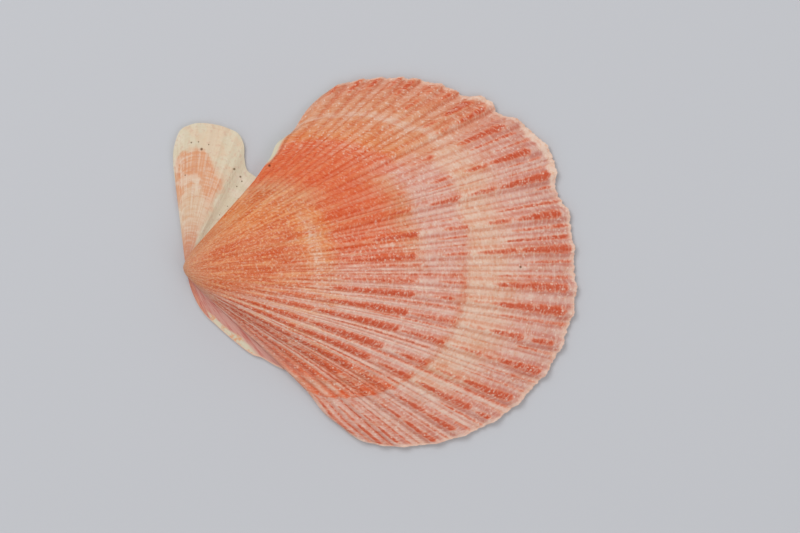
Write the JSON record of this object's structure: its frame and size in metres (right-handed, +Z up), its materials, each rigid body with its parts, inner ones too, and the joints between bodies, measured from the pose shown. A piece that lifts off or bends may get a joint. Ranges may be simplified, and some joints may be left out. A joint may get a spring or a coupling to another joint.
{
  "type": "fan shell",
  "caption": "One loose valve of a scallop: a thin ribbed fan with a long notched ear, a short ear and a hollow underside, lying on its rim",
  "frame": {"origin": "under the middle of the valve's box, on the plane that its rim rests on", "axes": "+Z up out of the ribbed back, +X across the hinge line from the beak to the far margin, +Y towards the long ear"},
  "size_m": [0.06, 0.0552, 0.0101],
  "materials": {
    "shell": "satin"
  },
  "bodies": {
    "root": {"valve": "shell"}
  },
  "joints": []
}
